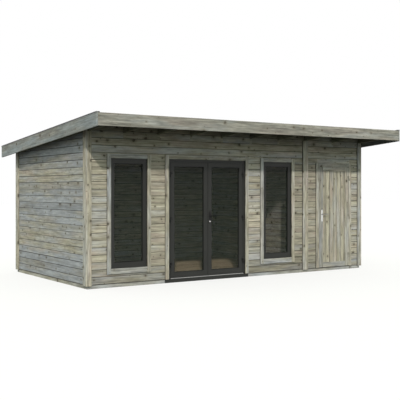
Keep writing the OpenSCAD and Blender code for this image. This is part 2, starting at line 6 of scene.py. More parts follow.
import bmesh
import bpy
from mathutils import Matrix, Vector


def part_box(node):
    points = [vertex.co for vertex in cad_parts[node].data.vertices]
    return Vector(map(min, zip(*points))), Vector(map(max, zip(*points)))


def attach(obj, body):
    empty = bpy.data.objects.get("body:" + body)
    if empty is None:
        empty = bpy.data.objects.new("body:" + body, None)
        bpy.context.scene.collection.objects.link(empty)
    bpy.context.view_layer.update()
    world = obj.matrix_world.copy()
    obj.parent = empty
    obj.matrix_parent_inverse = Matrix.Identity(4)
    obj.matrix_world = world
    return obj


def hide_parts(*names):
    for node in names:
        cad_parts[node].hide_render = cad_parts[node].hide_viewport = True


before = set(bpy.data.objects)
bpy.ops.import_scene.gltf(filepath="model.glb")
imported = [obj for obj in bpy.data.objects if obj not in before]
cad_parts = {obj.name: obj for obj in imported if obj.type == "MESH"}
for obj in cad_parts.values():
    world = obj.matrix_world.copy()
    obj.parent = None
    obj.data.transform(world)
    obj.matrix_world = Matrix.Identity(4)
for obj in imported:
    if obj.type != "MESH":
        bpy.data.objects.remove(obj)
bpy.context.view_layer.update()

X = Vector((1, 0, 0))
Y = Vector((0, 1, 0))
Z = Vector((0, 0, 1))

# Sizes in metres that the part's source also states
ROOF_PITCH = math.radians(4.39)
DECK_BOARD_T = 0.018
STILE_W = 0.079
LEAF_BOTTOM_W = 0.091
LEAF_WIDTHS = (STILE_W, STILE_W, LEAF_BOTTOM_W, STILE_W)
WINDOW_WIDTHS = (0.072, 0.072, 0.095, 0.085)
GLASS_BACK = 0.026
GLASS_T = 0.006
GLASS_BEVEL = 0.007
GLASS_SEAT = 0.012
GRIP_R = 0.009
NECK_R = 0.008
FLAP_T = 0.003

# Sizes of the boards that only this scene draws
BOARD_PITCH = 0.114
FLOOR_PITCH = 0.112
DECK_PITCH = 0.116
PANEL_PITCH = 0.094
BOARD_EDGE = 0.004
BOARD_GAP = 0.0024
JOINT_SPREAD = (0.7, 1.5)
TONGUE_SHARE = 0.13
TONGUE_OUT = 0.006
GROOVE_IN = 0.008
GROOVE_PLAY = 0.0005
LEAST_STRIP = 0.004

# Eased edges of timbers, and how far the painted shade reaches out from the wall on the sides of the trim
# boards
FINE_EDGE = 0.0012
LEAF_EDGE = 0.0015
PLANED_EDGE = 0.002
SAWN_EDGE = 0.003
GAP_SHADE_DEPTH = 0.012
GAP_SHADE_STEP = 0.0004

SLOPE = Vector((0, math.cos(ROOF_PITCH), -math.sin(ROOF_PITCH)))
ROOF_NORMAL = Vector((0, math.sin(ROOF_PITCH), math.cos(ROOF_PITCH)))

# Material nodes, with the colour sockets of the mix node and the rays that see the plain background
COLOUR_A = 6
COLOUR_B = 7
COLOUR_OUT = 2
BACKGROUND_RAYS = ("Is Camera Ray", "Is Glossy Ray", "Is Transmission Ray")


class Nodes:
    """The node tree of a material or of the world."""

    def __init__(self, owner):
        owner.use_nodes = True
        self.tree = owner.node_tree
        self.tree.nodes.clear()

    def put(self, socket, value):
        if isinstance(value, bpy.types.NodeSocket):
            self.tree.links.new(value, socket)
        else:
            socket.default_value = value

    def node(self, kind, values=(), **props):
        made = self.tree.nodes.new(kind)
        for key, value in props.items():
            setattr(made, key, value)
        for key, value in values:
            self.put(made.inputs[key], value)
        return made

    def calc(self, operation, a, b=0.0, clamp=False):
        return self.node("ShaderNodeMath", [(0, a), (1, b)], operation=operation, use_clamp=clamp).outputs[0]

    def chain(self, operation, values):
        """One operation over a row of values."""
        result = values[0]
        for value in values[1:]:
            result = self.calc(operation, result, value)
        return result

    def split(self, vector):
        return self.node("ShaderNodeSeparateXYZ", [(0, vector)]).outputs

    def mix(self, factor, a, b, blend="MIX"):
        values = [(0, factor), (COLOUR_A, a), (COLOUR_B, b)]
        return self.node("ShaderNodeMix", values, data_type="RGBA", blend_type=blend).outputs[COLOUR_OUT]

    def by_ray(self, lighting, seen):
        """One shader that lights the object, and another that camera, metal and glass see as background."""
        path = self.node("ShaderNodeLightPath").outputs
        rays = self.chain("MAXIMUM", [path[kind] for kind in BACKGROUND_RAYS])
        return self.node("ShaderNodeMixShader", [(0, rays), (1, lighting), (2, seen)]).outputs[0]


class Shader(Nodes):
    """A material with a Principled surface."""

    def __init__(self, name):
        self.material = bpy.data.materials.new(name)
        super().__init__(self.material)
        self.surface = self.node("ShaderNodeBsdfPrincipled")
        self.node("ShaderNodeOutputMaterial", [("Surface", self.surface.outputs[0])])

    def set(self, **values):
        for key, value in values.items():
            self.put(self.surface.inputs[key.replace("_", " ")], value)

    def attribute(self, name):
        return self.node("ShaderNodeAttribute", attribute_name=name).outputs["Vector"]

    def place(self):
        return self.node("ShaderNodeTexCoord").outputs["Object"]

    def joined(self, x, y, z):
        return self.node("ShaderNodeCombineXYZ", [(0, x), (1, y), (2, z)]).outputs[0]

    def vector(self, operation, a, b):
        return self.node("ShaderNodeVectorMath", [(0, a), (1, b)], operation=operation).outputs[0]

    def times(self, *factors):
        return self.chain("MULTIPLY", factors)

    def total(self, *parts):
        return self.chain("ADD", parts)

    def remap(self, value, from_low, from_high, low=0.0, high=1.0, smooth=False):
        kind = "SMOOTHSTEP" if smooth else "LINEAR"
        inputs = [("Value", value), ("From Min", from_low), ("From Max", from_high)]
        inputs += [("To Min", low), ("To Max", high)]
        return self.node("ShaderNodeMapRange", inputs, interpolation_type=kind, clamp=True).outputs[0]

    def noise(self, place, scale, detail=2.0, rough=0.5, offset=None):
        """Noise with a scale for each axis."""
        place = self.vector("MULTIPLY", place, scale)
        if offset:
            place = self.vector("ADD", place, offset)
        inputs = [("Vector", place), ("Scale", 1.0), ("Detail", detail), ("Roughness", rough)]
        return self.node("ShaderNodeTexNoise", inputs).outputs["Fac"]

    def cells(self, place, dimensions="3D"):
        inputs = [("Vector", place), ("Scale", 1.0)]
        return self.node("ShaderNodeTexVoronoi", inputs, voronoi_dimensions=dimensions).outputs

    def lit(self, colour, factor):
        """A colour made brighter or darker by a factor."""
        return self.mix(1.0, colour, self.joined(factor, factor, factor), "MULTIPLY")

    def bump(self, height, distance, strength=1.0):
        inputs = [("Height", height), ("Distance", distance), ("Strength", strength)]
        return self.node("ShaderNodeBump", inputs).outputs[0]


def rgb(r, g, b):
    return (r, g, b, 1.0)


# Knots and rings of the wood, in metres or per metre
KNOTS_PER_METRE = 6.0
KNOT_RADII = (0.007, 0.029)
KNOT_RAGGED = 0.14
KNOT_STRETCH = 0.8
HALO_REACH = 2.3
PINS_PER_METRE = 13.0
PIN_RADII = (0.003, 0.011)
PIN_SHARE = 0.4
RINGS_PER_METRE = 120.0
RING_DRIFT = 24.0
RING_BEND = 2.2
RING_TURN = 6.283
JOINT_AND_GAP_SHADE_LIGHT = 0.08
HALO_BROWN = rgb(0.15, 0.13, 0.09)
PIN_BROWN = rgb(0.07, 0.06, 0.045)
HEART_DARK = rgb(0.03, 0.026, 0.019)
HEART_PALE = rgb(0.085, 0.073, 0.053)


def knots(look, grain, per_metre, share, radii):
    """Round, ragged knots in a share of the cells: their cores and the bent grain round them."""
    ragged = look.noise(grain, (26.0, 40.0, 40.0))
    push = look.times(look.calc("SUBTRACT", ragged, 0.5), KNOT_RAGGED)
    place = look.vector("MULTIPLY", grain, (KNOT_STRETCH * per_metre, per_metre, 0.0))
    spots = look.cells(look.vector("ADD", place, look.joined(push, push, 0.0)), "2D")
    cell = look.split(spots["Color"])
    away = spots["Distance"]
    shown = look.calc("LESS_THAN", cell[0], share)
    size = look.remap(look.times(cell[1], cell[1]), 0.0, 1.0, radii[0] * per_metre, radii[1] * per_metre)
    depth = look.remap(cell[2], 0.0, 1.0, 0.7, 1.0)
    core = look.times(look.remap(away, size, look.times(size, 0.5), smooth=True), shown, depth)
    halo = look.times(look.remap(away, look.times(size, HALO_REACH), size, smooth=True), shown)
    return core, halo


def wood(name, pale, deep, cool, warm, knot_share, cool_share, roughness, swing=1.0):
    """Knotty grey softwood: rings bent round knots, streaks, cool and warm blotches and a tone per board."""
    look = Shader(name)
    grain = look.attribute("grain")
    light, hue, joint_and_gap_shade = look.split(look.attribute("tone"))
    core, halo = knots(look, grain, KNOTS_PER_METRE, knot_share, KNOT_RADII)
    pin_core = knots(look, grain, PINS_PER_METRE, PIN_SHARE * knot_share, PIN_RADII)[0]

    drift = look.noise(grain, (0.9, 5.0, 5.0))
    across = look.times(look.split(grain)[1], RINGS_PER_METRE)
    phase = look.total(across, look.times(drift, RING_DRIFT), look.times(halo, RING_BEND))
    rings = look.remap(look.calc("SINE", look.times(phase, RING_TURN)), -1.0, 1.0)
    fine = look.noise(grain, (9.0, 340.0, 340.0), 2.0, 0.6)
    streak = look.noise(grain, (2.3, 42.0, 24.0), 3.0, 0.65)
    patch = look.noise(grain, (5.0, 22.0, 12.0), 3.0, 0.6)
    cloud = look.noise(grain, (1.1, 7.0, 4.0), 3.0, 0.6)
    blush = look.noise(grain, (1.5, 6.0, 4.0), offset=(31.0, 7.0, 5.0))

    lines = look.total(look.times(rings, 0.3), look.times(fine, 0.3))
    lines = look.calc("ADD", lines, look.remap(streak, 0.32, 0.68, 0.0, 0.6), clamp=True)
    colour = look.mix(lines, pale, deep)
    colour = look.mix(look.remap(blush, 0.48, 0.72, 0.0, 0.75), colour, warm)
    cooled = look.total(look.remap(cloud, 0.36, 0.64, -0.3, 0.7), hue)
    colour = look.mix(look.calc("MULTIPLY", cooled, cool_share, clamp=True), colour, cool)
    for blotch, change in ((cloud, 0.14), (patch, -0.22), (streak, -0.24)):
        light = look.times(light, look.remap(blotch, 0.3, 0.7, 1.0 - change * swing, 1.0 + change * swing))
    colour = look.lit(colour, light)
    colour = look.mix(look.times(halo, 0.34), colour, HALO_BROWN)
    colour = look.mix(look.times(pin_core, 0.6), colour, PIN_BROWN)
    heart = look.mix(look.remap(fine, 0.35, 0.65), HEART_DARK, HEART_PALE)
    colour = look.mix(look.times(core, 0.88), colour, heart)
    # Joints are darkened, and so is the painted shade on the backs of trims
    colour = look.lit(colour, look.remap(joint_and_gap_shade, 0.0, 1.0, 1.0, JOINT_AND_GAP_SHADE_LIGHT))
    height = look.calc("SUBTRACT", look.times(lines, 0.7), look.times(core, 0.6))
    look.set(Base_Color=colour, Normal=look.bump(height, 0.0012, 0.5), Specular_IOR_Level=0.2)
    look.set(Roughness=look.remap(lines, 0.0, 1.0, roughness, roughness + 0.12))
    return look.material


def paint(name, colour, roughness):
    """Satin paint on planed timber: faint grain under the film, dust and slight sheen changes."""
    look = Shader(name)
    grain = look.attribute("grain")
    streak = look.noise(grain, (3.0, 120.0, 120.0))
    cloud = look.noise(grain, (2.2, 6.0, 6.0), 3.0)
    look.set(Base_Color=look.lit(colour, look.remap(cloud, 0.3, 0.7, 0.8, 1.2)), Specular_IOR_Level=0.35)
    look.set(Roughness=look.remap(cloud, 0.25, 0.75, roughness - 0.07, roughness + 0.1))
    look.set(Normal=look.bump(streak, 0.0006, 0.35))
    return look.material


# Scratches that run level, and scratches across a bar that lies along X
LEVEL_SCRATCHES = (60.0, 60.0, 900.0)
CROSS_SCRATCHES = (900.0, 60.0, 60.0)


def metal(name, colour, roughness, scratches=LEVEL_SCRATCHES, metallic=1.0, specular=0.5):
    """Brushed or coated metal with fine scratches and smudges."""
    look = Shader(name)
    place = look.place()
    scratch = look.noise(place, scratches, 2.0, 0.6)
    smudge = look.noise(place, (14.0, 14.0, 14.0), 3.0)
    look.set(Base_Color=look.lit(colour, look.remap(scratch, 0.3, 0.7, 0.86, 1.0)), Metallic=metallic)
    look.set(Specular_IOR_Level=specular, Normal=look.bump(scratch, 0.0003, 0.3))
    look.set(Roughness=look.remap(smudge, 0.3, 0.7, roughness - 0.06, roughness + 0.1))
    return look.material


def pane(name, tint):
    """Float glass: mostly see-through, with a faint green tint, smears and slight ripple."""
    look = Shader(name)
    place = look.place()
    ripple = look.noise(place, (2.0, 2.0, 2.0), 1.0)
    smear = look.noise(place, (6.0, 6.0, 18.0), 3.0)
    look.set(Base_Color=tint, Alpha=look.remap(smear, 0.35, 0.7, 0.17, 0.22))
    look.set(Roughness=look.remap(smear, 0.35, 0.7, 0.015, 0.06), Normal=look.bump(ripple, 0.002, 0.15))
    return look.material


def rubber(name, colour):
    """Matt black seal, or the dark strip between the base and the walls."""
    look = Shader(name)
    speck = look.noise(look.place(), (300.0, 300.0, 300.0))
    look.set(Base_Color=look.lit(colour, look.remap(speck, 0.3, 0.7, 0.8, 1.5)))
    look.set(Normal=look.bump(speck, 0.0003, 0.3), Specular_IOR_Level=0.25)
    look.set(Roughness=look.remap(speck, 0.3, 0.7, 0.6, 0.75))
    return look.material


def felt(name, dark, pale, wet):
    """Mineral roofing sheet: fine granules of two greys and damp patches."""
    look = Shader(name)
    place = look.place()
    grit = look.cells(look.vector("MULTIPLY", place, (320.0, 320.0, 320.0)))
    damp = look.noise(place, (0.9, 1.6, 1.0), 4.0, 0.6)
    granules = look.mix(look.split(grit["Color"])[0], dark, pale)
    look.set(Base_Color=look.mix(look.remap(damp, 0.35, 0.7), granules, wet))
    look.set(Normal=look.bump(grit["Distance"], 0.0015, 0.6), Specular_IOR_Level=0.25)
    look.set(Roughness=look.remap(damp, 0.3, 0.7, 0.82, 0.95))
    return look.material


# Materials, with pale, deep, cool and warm colours for each wood
COOL = rgb(0.292, 0.312, 0.322)
WARM = rgb(0.385, 0.330, 0.275)
WALL_WOOD = wood("wall_wood", rgb(0.45, 0.43, 0.335), rgb(0.26, 0.25, 0.19), COOL, WARM,
                 knot_share=0.6, cool_share=0.8, roughness=0.72, swing=0.85)
TRIM_WOOD = wood("trim_wood", rgb(0.45, 0.43, 0.34), rgb(0.27, 0.258, 0.20), COOL, WARM,
                 knot_share=0.55, cool_share=0.7, roughness=0.7, swing=1.2)
EAVES_WOOD = wood("eaves_wood", rgb(0.29, 0.285, 0.245), rgb(0.155, 0.155, 0.133),
                  rgb(0.19, 0.215, 0.22), rgb(0.24, 0.22, 0.19),
                  knot_share=0.55, cool_share=0.8, roughness=0.72)
BASE_WOOD = wood("base_wood", rgb(0.42, 0.405, 0.32), rgb(0.29, 0.28, 0.22), COOL, WARM,
                 knot_share=0.2, cool_share=0.6, roughness=0.8)
FLOOR_WOOD = wood("floor_wood", rgb(0.56, 0.47, 0.32), rgb(0.44, 0.345, 0.215),
                  rgb(0.48, 0.44, 0.33), rgb(0.52, 0.42, 0.27),
                  knot_share=0.25, cool_share=0.4, roughness=0.5)
# Painted shade: the rafters and the roof boards show only under the eaves and inside, and are made far
# darker than the other timber for the shade there, the roof boards darkest
SHADED_RAFTER_WOOD = wood("rafter_wood_painted_shade", rgb(0.21, 0.215, 0.15), rgb(0.14, 0.14, 0.10),
                   rgb(0.155, 0.165, 0.135), rgb(0.18, 0.17, 0.125),
                   knot_share=0.3, cool_share=0.6, roughness=0.78)
SHADED_DECK_WOOD = wood("deck_wood_painted_shade", rgb(0.060, 0.064, 0.035), rgb(0.038, 0.040, 0.022),
                 rgb(0.042, 0.048, 0.031), rgb(0.054, 0.052, 0.031),
                 knot_share=0.3, cool_share=0.6, roughness=0.8)
ANTHRACITE = paint("anthracite_paint", rgb(0.014, 0.015, 0.013), roughness=0.45)
GLASS = pane("tinted_glass", rgb(0.014, 0.026, 0.016))
SEAL = rubber("black_seal", rgb(0.010, 0.010, 0.010))
DARK_STRIP = rubber("dark_base_strip", rgb(0.06, 0.058, 0.05))
STEEL = metal("satin_steel", rgb(0.80, 0.80, 0.79), roughness=0.3)
# Painted shade: the store lever is the plate's steel made far darker, for the shade on the bar
SHADED_LEVER_STEEL = metal("lever_steel_painted_shade", rgb(0.27, 0.27, 0.255), roughness=0.36)
DULL_STEEL = metal("dull_zinc", rgb(0.22, 0.22, 0.205), roughness=0.5)
GREY_METAL = metal("grey_coated_metal", rgb(0.25, 0.245, 0.20),
                   roughness=0.55, metallic=0.0, specular=0.3)
DARK_METAL = metal("dark_coated_metal", rgb(0.006, 0.006, 0.006),
                   roughness=0.32, metallic=0.0, specular=0.25)
ALUMINIUM = metal("mill_aluminium", rgb(0.55, 0.55, 0.54), roughness=0.36, scratches=CROSS_SCRATCHES)
STRIP_METAL = metal("coated_strip", rgb(0.06, 0.062, 0.065), roughness=0.5, metallic=0.0, specular=0.3)
FELT = felt("roofing_sheet", rgb(0.035, 0.036, 0.038), rgb(0.095, 0.096, 0.098), rgb(0.052, 0.052, 0.05))

# Mesh building, with a along a board, b across it and c through it, and tones as (light, hue)
FACE = 0
JOINT_AND_GAP_SHADE = 1
NO_TONE = (0.0, 0.0)
GRAIN_SHIFT = 40.0
HUE_SPREAD = 0.3
BOARD_SPREAD = 0.11
TRIM_SPREAD = 0.05
HAIR = 1e-6
NEAR = 1e-5
WELD = 2e-5
FLAT_ANGLE = math.radians(0.5)
SHARP_ANGLE = math.radians(30)
SMOOTH_ANGLE = math.radians(35)


class Timber:
    """Pieces of timber gathered into one mesh, each with its own grain and tone."""

    def __init__(self, name, spread=BOARD_SPREAD, mesh=None):
        self.name = name
        self.spread = spread
        self.random = random.Random("shed " + name)
        self.mesh = mesh or bmesh.new()
        self.grain = self.mesh.verts.layers.float_vector.new("grain")
        self.tone = self.mesh.verts.layers.float_vector.new("tone")

    def mark(self, verts, axes, shift=NO_TONE, dark=()):
        """Gives one piece its grain along the first axis, a tone of its own, and darkens the given vertices:
        dark joints, and painted shade on the backs of trims.
        """
        offset = Vector([self.random.uniform(-GRAIN_SHIFT, GRAIN_SHIFT) for _ in axes])
        light = 1.0 + self.random.uniform(-self.spread, self.spread) + shift[0]
        hue = self.random.uniform(-HUE_SPREAD, HUE_SPREAD) + shift[1]
        for v in verts:
            v[self.grain] = Vector([v.co.dot(axis) for axis in axes]) + offset
            v[self.tone] = Vector((light, hue, FACE))
        for v in dark:
            v[self.tone] = Vector((light, hue, JOINT_AND_GAP_SHADE))

    def prism(self, profile, a0, a1, axes, shift=NO_TONE):
        """A piece with this outline of (b, c, face or joint) from one place to another along it."""
        along, across, through = axes
        rings = []
        for a in (a0, a1):
            rings.append([self.mesh.verts.new(along * a + across * b + through * c) for b, c, _ in profile])
        bridge(self.mesh, rings)
        dark = [ring[i] for ring in rings for i, point in enumerate(profile) if point[2] == JOINT_AND_GAP_SHADE]
        self.mark(rings[0] + rings[1], axes, shift, dark)

    def finish(self, material, body, nodes, slot):
        return make(self.name, turned_out(self.mesh), material, body, nodes)


def bridge(mesh, rings, loop=False):
    """Joins a row of vertex rings into one solid, closed at its ends or into a loop."""
    count = len(rings[0])
    following = rings[1:] + rings[:1] if loop else rings[1:]
    for near, far in zip(rings, following):
        for i in range(count):
            j = (i + 1) % count
            mesh.faces.new((near[i], near[j], far[j], far[i]))
    if not loop:
        mesh.faces.new(rings[0])
        mesh.faces.new(rings[-1])


def turned_out(mesh):
    """The same mesh with all faces turned outwards."""
    bmesh.ops.recalc_face_normals(mesh, faces=mesh.faces[:])
    return mesh


def make(name, mesh, material, body, nodes, smooth=False):
    """A piece that rides on a body, in place of these CAD nodes."""
    data = bpy.data.meshes.new(name)
    mesh.to_mesh(data)
    mesh.free()
    data.materials.append(material)
    if smooth:
        data.shade_smooth()
        data.set_sharp_from_angle(angle=SMOOTH_ANGLE)
    made = bpy.data.objects.new(name, data)
    bpy.context.scene.collection.objects.link(made)
    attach(made, body)
    if nodes:
        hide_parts(*nodes)
    return made


def welded(node):
    """Copy of a CAD node's mesh with whole flat faces."""
    mesh = bmesh.new()
    mesh.from_mesh(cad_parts[node].data)
    bmesh.ops.remove_doubles(mesh, verts=mesh.verts[:], dist=WELD)
    bmesh.ops.dissolve_limit(mesh, angle_limit=FLAT_ANGLE, verts=mesh.verts[:], edges=mesh.edges[:])
    return mesh


def islands(mesh):
    """The vertices of each loose piece of a mesh."""
    left = set(mesh.verts)
    found = []
    for start in mesh.verts:
        if start not in left:
            continue
        left.discard(start)
        group = [start]
        for v in group:
            for edge in v.link_edges:
                other = edge.other_vert(v)
                if other in left:
                    left.discard(other)
                    group.append(other)
        found.append(group)
    return found


def box_of(verts):
    low = Vector([min(v.co[i] for v in verts) for i in range(3)])
    high = Vector([max(v.co[i] for v in verts) for i in range(3)])
    return low, high


def rounded(low):
    return tuple(round(c, 3) for c in low)


def boxes(node):
    """Lowest and highest corner of each solid of a CAD node, from left to right."""
    mesh = welded(node)
    found = [box_of(group) for group in islands(mesh)]
    mesh.free()
    return sorted(found, key=lambda b: rounded(b[0]))


def grain_axes(low, high, sloped):
    """Length, width and thickness directions of a piece of timber."""
    size = high - low
    order = sorted(range(3), key=lambda i: -size[i])
    directions = (X, SLOPE, ROOF_NORMAL) if sloped else (X, Y, Z)
    return [directions[i] for i in order]


def soften(mesh, edges, offset, segments=2, profile=0.5):
    """Rounds edges of a mesh."""
    bmesh.ops.bevel(mesh, geom=edges, offset=offset, segments=segments, profile=profile, affect="EDGES",
                    clamp_overlap=True)


def sliced(mesh, point, normal, **options):
    """Adds the edges where a plane crosses a mesh."""
    geom = mesh.verts[:] + mesh.edges[:] + mesh.faces[:]
    return bmesh.ops.bisect_plane(mesh, geom=geom, plane_co=point, plane_no=normal, **options)


def trim_above(mesh, point, normal):
    """Cuts a mesh off above a plane and closes it."""
    cut = sliced(mesh, point, normal, clear_outer=True)
    edges = [e for e in cut["geom_cut"] if isinstance(e, bmesh.types.BMEdge)]
    bmesh.ops.holes_fill(mesh, edges=edges)


def dress(node, material, body, slot, edge=PLANED_EDGE, sloped=False, tones=(NO_TONE,), gap_shade=False):
    """A CAD node's timbers with eased edges, each with its own grain and tone, and painted shade on the
    backs of their sides next to the wall if asked.
    """
    timber = Timber(node + "_timber", TRIM_SPREAD, welded(node))
    sharp = [e for e in timber.mesh.edges if e.calc_face_angle(0.0) > SHARP_ANGLE]
    soften(timber.mesh, sharp, edge, profile=0.6)
    front = FRONT_Y - GAP_SHADE_DEPTH
    rear = REAR_Y + GAP_SHADE_DEPTH
    # Painted shade: the sides of a trim, from the wall out to a short depth, are darkened like a joint
    if gap_shade:
        for y in (front, front + GAP_SHADE_STEP, rear - GAP_SHADE_STEP, rear):
            sliced(timber.mesh, Y * y, Y)
    groups = islands(timber.mesh)
    groups.sort(key=lambda g: rounded(box_of(g)[0]))
    for i, group in enumerate(groups):
        low, high = box_of(group)
        dark = [v for v in group if gap_shade and front + GAP_SHADE_STEP / 2 < v.co.y < rear - GAP_SHADE_STEP / 2]
        timber.mark(group, grain_axes(low, high, sloped), tones[i % len(tones)], dark)
    return timber.finish(material, body, [node], slot)


def tongued(b0, b1, c0, c1, edge, gap):
    """Outline of a tongue-and-groove board with eased edges on both faces."""
    low = b0 + gap / 2
    high = b1 - gap / 2
    tongue = b1 + TONGUE_OUT
    groove = b0 + GROOVE_IN
    middle = (c0 + c1) / 2
    half = TONGUE_SHARE * (c1 - c0)
    wide = half + GROOVE_PLAY
    return [
        (low + edge, c0, FACE), (high - edge, c0, FACE),
        (high, c0 + edge, JOINT_AND_GAP_SHADE), (high, middle - half, JOINT_AND_GAP_SHADE),
        (tongue, middle - half, JOINT_AND_GAP_SHADE), (tongue, middle + half, JOINT_AND_GAP_SHADE),
        (high, middle + half, JOINT_AND_GAP_SHADE), (high, c1 - edge, JOINT_AND_GAP_SHADE),
        (high - edge, c1, FACE), (low + edge, c1, FACE),
        (low, c1 - edge, JOINT_AND_GAP_SHADE), (low, middle + wide, JOINT_AND_GAP_SHADE),
        (groove, middle + wide, JOINT_AND_GAP_SHADE), (groove, middle - wide, JOINT_AND_GAP_SHADE),
        (low, middle - wide, JOINT_AND_GAP_SHADE), (low, c0 + edge, JOINT_AND_GAP_SHADE),
    ]


def eased(b0, b1, c0, c1, edge):
    """Outline of a plain board with eased edges."""
    return [
        (b0 + edge, c0, FACE), (b1 - edge, c0, FACE), (b1, c0 + edge, JOINT_AND_GAP_SHADE), (b1, c1 - edge, JOINT_AND_GAP_SHADE),
        (b1 - edge, c1, FACE), (b0 + edge, c1, FACE), (b0, c1 - edge, JOINT_AND_GAP_SHADE), (b0, c0 + edge, JOINT_AND_GAP_SHADE),
    ]


def row_pieces(a_range, b0, b1, openings):
    """The pieces of one row of boards, as (a0, a1, b0, b1), with the openings left out."""
    edges = {a_range[0], a_range[1]}
    for opening in openings:
        edges.update(a for a in opening[:2] if a_range[0] < a < a_range[1])
    edges = sorted(edges)
    pieces = []
    for a0, a1 in zip(edges, edges[1:]):
        middle = (a0 + a1) / 2
        spans = [(b0, b1)]
        for left, right, bottom, top in openings:
            if not left < middle < right:
                continue
            kept = []
            for low, high in spans:
                kept.append((low, min(high, bottom)))
                kept.append((max(low, top), high))
            spans = [(low, high) for low, high in kept if high - low > LEAST_STRIP]
        for low, high in spans:
            last = pieces[-1] if pieces else None
            if last and last[1] == a0 and last[2:] == (low, high):
                pieces[-1] = (last[0], a1, low, high)
            else:
                pieces.append((a0, a1, low, high))
    return pieces


def plain_tone(row, middle):
    return NO_TONE


def lay(timber, a_range, b_range, c_range, pitch, axes, openings=(), edge=BOARD_EDGE, gap=BOARD_GAP,
        tone=plain_tone):
    """Rows of tongued boards over an area, cut away at its openings."""
    rows = math.ceil((b_range[1] - b_range[0] - LEAST_STRIP) / pitch)
    for row in range(rows):
        b = b_range[0] + row * pitch
        top = min(b + pitch, b_range[1])
        for a0, a1, low, high in row_pieces(a_range, b, top, openings):
            width = timber.random.uniform(*JOINT_SPREAD)
            if high - low > pitch - HAIR:
                profile = tongued(low, high, *c_range, edge * width, gap * width)
            else:
                profile = eased(low, high - gap / 2, *c_range, min(edge, (high - low) / 4))
            timber.prism(profile, a0, a1, axes, tone(row, (a0 + a1) / 2))


# Walls of tongued boards
left_low, left_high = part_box("left_wall")
right_low, right_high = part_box("right_wall")
rear_low, rear_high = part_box("rear_wall")
head_low, head_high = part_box("front_wall_head")
part_low, part_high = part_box("partition_wall")
rafter_boxes = boxes("rafters")
window_boxes = boxes("window_frames")
door_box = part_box("door_frame")
store_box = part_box("store_door_frame")
BASE_Z = left_low.z
FRONT_Y = left_low.y
REAR_Y = rear_high.y
WALL_T = left_high.x - left_low.x
FAR = 10.0
SEAT_GAP = 0.0002
TOP_GAP = 0.004

# Tones of the left wall's rows, of the lowest rows and of stretches of the front wall; warm below zero
LEFT_LIGHT = -0.14
LEFT_HUES = (1.0, 1.0, 0.9, 0.5, 0.4, 0.4, 0.35, 0.4, 0.4, 0.6, 0.9, 1.1, 0.9, 0.7, 0.4, 0.4, 0.5, 0.7, 0.8)
DAMP_ROWS = 2
DAMP_TONE = (-0.1, 0.55)
STRETCHES = (
    (window_boxes[0][0].x, (0.0, 0.0)), (door_box[0].x, (-0.07, -0.45)), (window_boxes[1][0].x, (0.02, 0.0)),
    (store_box[0].x, (-0.2, -0.35)), (FAR, (0.03, 0.1)),
)


def roof_under(y):
    """Height of the rafters' underside."""
    return left_high.z - (y - FRONT_Y) * math.tan(ROOF_PITCH)


def left_tone(row, middle):
    return (LEFT_LIGHT, LEFT_HUES[min(row, len(LEFT_HUES) - 1)])


def damp_tone(row, middle):
    """The lowest rows are cooler and a little darker."""
    return DAMP_TONE if row < DAMP_ROWS else NO_TONE


def front_tone(row, middle):
    stretch = next(shift for end, shift in STRETCHES if middle < end)
    damp = damp_tone(row, middle)
    return (stretch[0] + damp[0], stretch[1] + damp[1])


for name, node, low, high, tone in (
    ("left_wall_boards", "left_wall", left_low, left_high, left_tone),
    ("right_wall_boards", "right_wall", right_low, right_high, damp_tone),
    ("partition_boards", "partition_wall", part_low, part_high, plain_tone),
):
    boards = Timber(name)
    lay(boards, (low.y, high.y), (BASE_Z, high.z), (low.x, high.x), BOARD_PITCH, (Y, Z, X), tone=tone)
    trim_above(boards.mesh, Vector((0, FRONT_Y, left_high.z - SEAT_GAP)), ROOF_NORMAL)
    boards.finish(WALL_WOOD, "shed", [node], "wall_boards")

front_openings = [(low.x, high.x, low.z, high.z) for low, high in window_boxes]
front_openings += [(low.x, high.x, 0.0, high.z) for low, high in (door_box, store_box)]
front_openings += [(low.x, high.x, roof_under(FRONT_Y + WALL_T), FAR) for low, high in rafter_boxes]
boards = Timber("front_wall_boards")
lay(boards, (head_low.x, head_high.x), (BASE_Z, head_high.z - TOP_GAP), (FRONT_Y, FRONT_Y + WALL_T),
    BOARD_PITCH, (X, Z, Y), front_openings, tone=front_tone)
front_nodes = ["front_wall_" + part for part in ("left", "middle", "right", "head")]
boards.finish(WALL_WOOD, "shed", front_nodes, "wall_boards")

rear_openings = [(low.x, high.x, roof_under(REAR_Y), FAR) for low, high in rafter_boxes]
boards = Timber("rear_wall_boards")
lay(boards, (rear_low.x, rear_high.x), (BASE_Z, rear_high.z - TOP_GAP), (rear_low.y, rear_high.y),
    BOARD_PITCH, (X, Z, Y), rear_openings, tone=damp_tone)
boards.finish(WALL_WOOD, "shed", ["rear_wall"], "wall_boards")

# Floor and roof boards
FLOOR_EDGE = 0.0015
FLOOR_GAP = 0.001
DECK_EDGE = 0.003
DECK_GAP = 0.002
DECK_FRONT_GAP = 0.001
DECK_REAR_GAP = 0.0015
DECK_T = DECK_BOARD_T * math.cos(ROOF_PITCH)

boards = Timber("floor_planks")
door_notches = [(low.x, high.x, FRONT_Y, high.y) for low, high in (door_box, store_box)]
for low, high in boxes("floor_boards"):
    lay(boards, (low.x, high.x), (low.y, high.y), (low.z, high.z), FLOOR_PITCH, (X, Y, Z), door_notches,
        FLOOR_EDGE, FLOOR_GAP)
boards.finish(FLOOR_WOOD, "shed", ["floor_boards"], "floor_timber")

